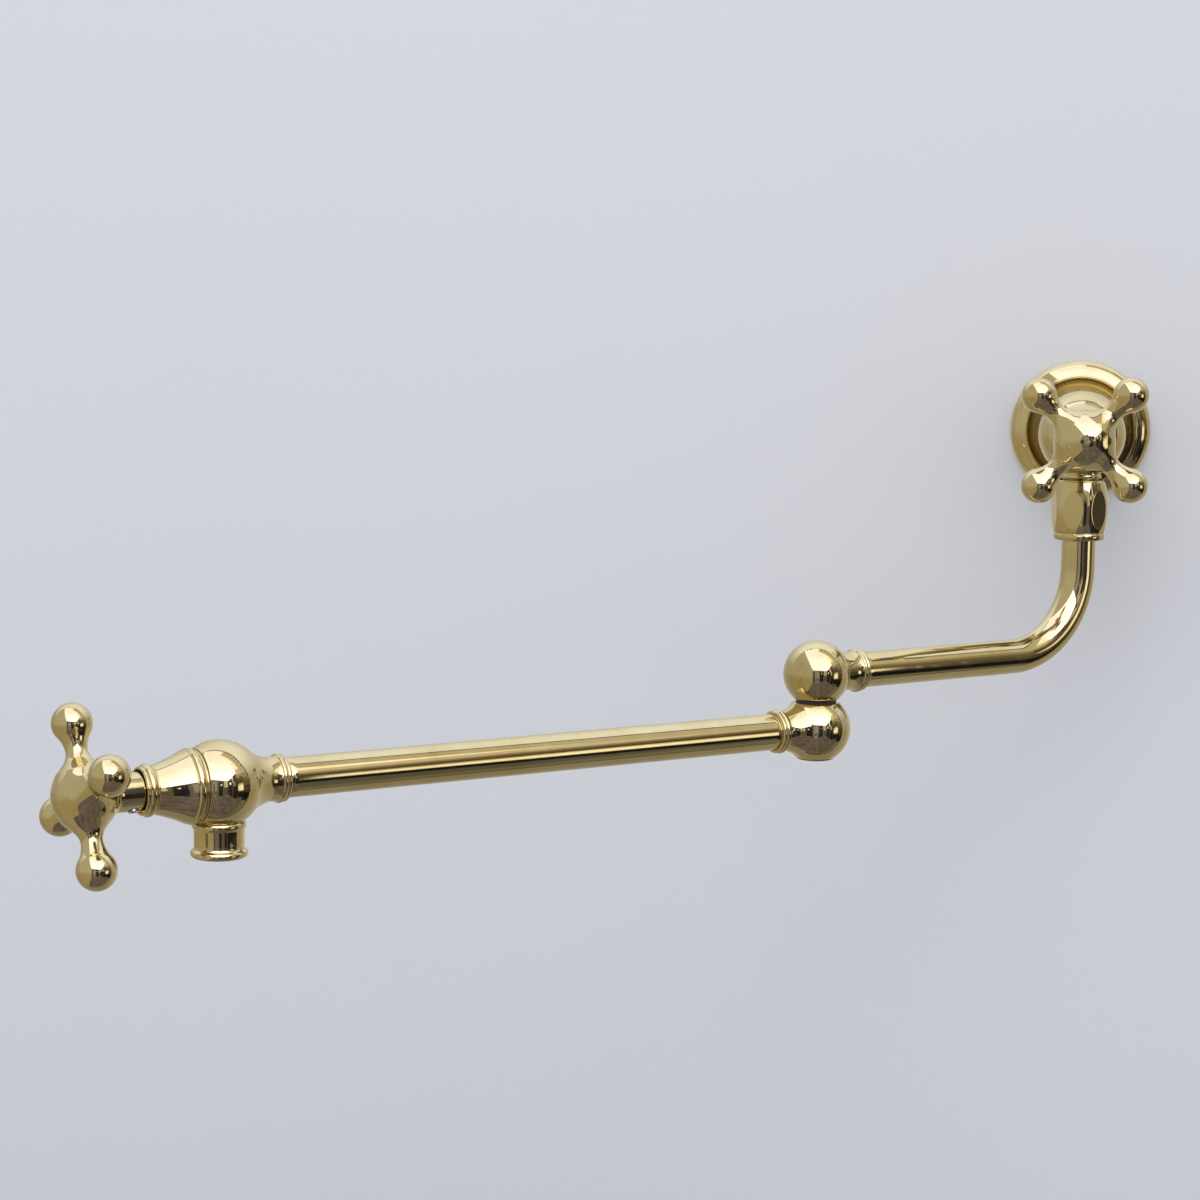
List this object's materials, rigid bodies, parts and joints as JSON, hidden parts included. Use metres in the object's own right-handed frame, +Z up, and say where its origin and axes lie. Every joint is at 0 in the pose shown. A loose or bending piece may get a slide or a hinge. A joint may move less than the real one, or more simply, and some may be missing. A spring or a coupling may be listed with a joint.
{
  "type": "wall mounted pot filler",
  "caption": "Wall mounted pot filler: ball-bodied wall valve, swinging tube arms joined by a ball elbow, and an end valve with a cross handle over a short spout.",
  "frame": {"origin": "centre of the wall flange's back, on the finished wall face and on the inlet's axis", "axes": "+Z up, +Y into the wall along the inlet's axis, -Y out of the wall towards the user; the arms rest folded out to -X and -Y"},
  "size_m": [0.4288, 0.4246, 0.1941],
  "materials": {
    "polished_brass": "hand polished, unlacquered",
    "plain_brass": "as turned, not polished",
    "aerator_brass": "satin turned",
    "rubber": "moulded nitrile rubber",
    "ceramic": "lapped alumina ceramic",
    "steel": "plain stainless steel",
    "black_plastic": "black acetal",
    "white_plastic": "white fluoropolymer",
    "fibre": "red vulcanised fibre"
  },
  "bodies": {
    "wall_mount": {"wall_flange": "polished_brass", "flange_gasket": "rubber", "flange_grip_ring": "rubber", "wall_valve_body": "polished_brass", "wall_bonnet": "polished_brass", "wall_gland": "plain_brass", "wall_gland_washer": "fibre", "wall_seat_seal": "rubber", "wall_fixed_disc": "ceramic", "union_nut": "polished_brass", "swivel_washer_top": "white_plastic", "swivel_washer_bottom": "white_plastic"},
    "wall_control": {"wall_handle": "polished_brass", "wall_grub_screw": "steel", "wall_spindle": "plain_brass", "wall_spindle_clip": "steel", "wall_spindle_ring": "rubber", "wall_moving_disc": "ceramic"},
    "inner_arm": {"swivel_tail": "plain_brass", "swivel_rings": "rubber", "inner_tube": "polished_brass", "upper_knuckle": "polished_brass", "pivot_stem": "plain_brass", "pivot_rings": "rubber", "pivot_washer": "plain_brass", "pivot_clip": "steel", "elbow_washer": "black_plastic"},
    "outer_arm": {"lower_knuckle": "polished_brass", "pivot_cap": "polished_brass", "outer_tube": "polished_brass", "end_valve_body": "polished_brass", "end_bonnet": "polished_brass", "end_gland": "plain_brass", "end_gland_washer": "fibre", "end_seat_seal": "rubber", "end_fixed_disc": "ceramic", "spout_nozzle": "polished_brass", "aerator_washer": "rubber", "aerator_housing": "aerator_brass", "aerator_mesh": "steel", "flow_straightener": "black_plastic"},
    "end_control": {"end_handle": "polished_brass", "end_grub_screw": "steel", "end_spindle": "plain_brass", "end_spindle_clip": "steel", "end_spindle_ring": "rubber", "end_moving_disc": "ceramic"}
  },
  "joints": [
    {"name": "wall_handle_turn", "type": "hinge", "parent": "wall_mount", "child": "wall_control", "pos_m": [0, -0.1054, 0], "axis": [0, -1, 0], "range_deg": [0, 90]},
    {"name": "inner_arm_swing", "type": "hinge", "parent": "wall_mount", "child": "inner_arm", "pos_m": [0, -0.046, -0.06], "axis": [0, 0, 1], "range_deg": [-43, 137]},
    {"name": "outer_arm_swing", "type": "hinge", "parent": "inner_arm", "child": "outer_arm", "pos_m": [-0.11409, -0.15239, -0.1145], "axis": [0, 0, 1], "continuous": true},
    {"name": "end_handle_turn", "type": "hinge", "parent": "outer_arm", "child": "end_control", "pos_m": [-0.37032, -0.37512, -0.1267], "axis": [-0.7547, -0.6561, 0], "range_deg": [0, 90]}
  ]
}
